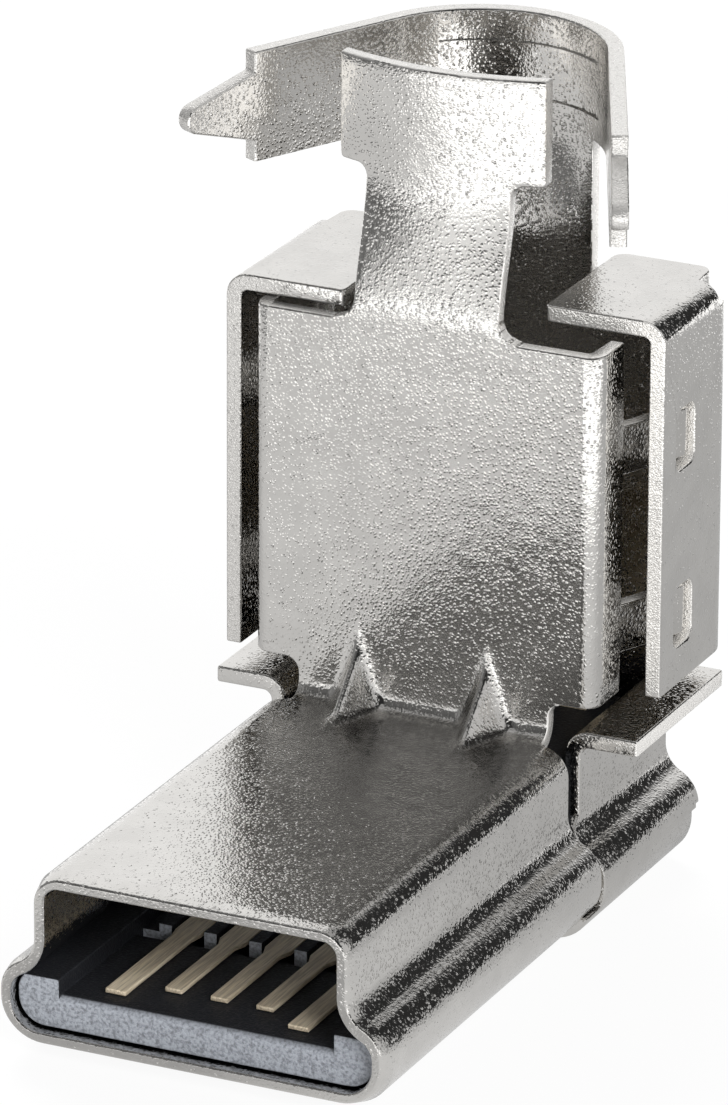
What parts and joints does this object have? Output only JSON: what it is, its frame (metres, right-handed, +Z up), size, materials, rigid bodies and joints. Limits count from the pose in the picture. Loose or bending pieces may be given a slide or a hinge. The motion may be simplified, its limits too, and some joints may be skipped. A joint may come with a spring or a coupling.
{
  "type": "mini usb plug",
  "caption": "Right-angle mini-B plug kit: stamped nickel-plated shields with a stepped nose, latched can and open cable crimp band around a black contact carrier with flat contacts.",
  "frame": {"origin": "on the tray's underside, where the cable axis meets it", "axes": "+Z up along the cable axis, -Y along the nose towards its mouth, +X to the right when facing the mouth"},
  "size_m": [0.0085, 0.013, 0.0141],
  "materials": {
    "front_plating": "nickel plated sheet steel, bright with a fine grain",
    "rear_plating": "nickel plated sheet steel, bright with a fine grain",
    "black_moulding": "moulded, lightly textured",
    "contact_metal": "thin gold plating"
  },
  "bodies": {
    "root": {"front_shell": "front_plating", "rear_shell": "rear_plating", "contact_carrier": "black_moulding", "contact_1": "contact_metal", "contact_2": "contact_metal", "contact_3": "contact_metal", "contact_4": "contact_metal", "contact_5": "contact_metal"}
  },
  "joints": []
}
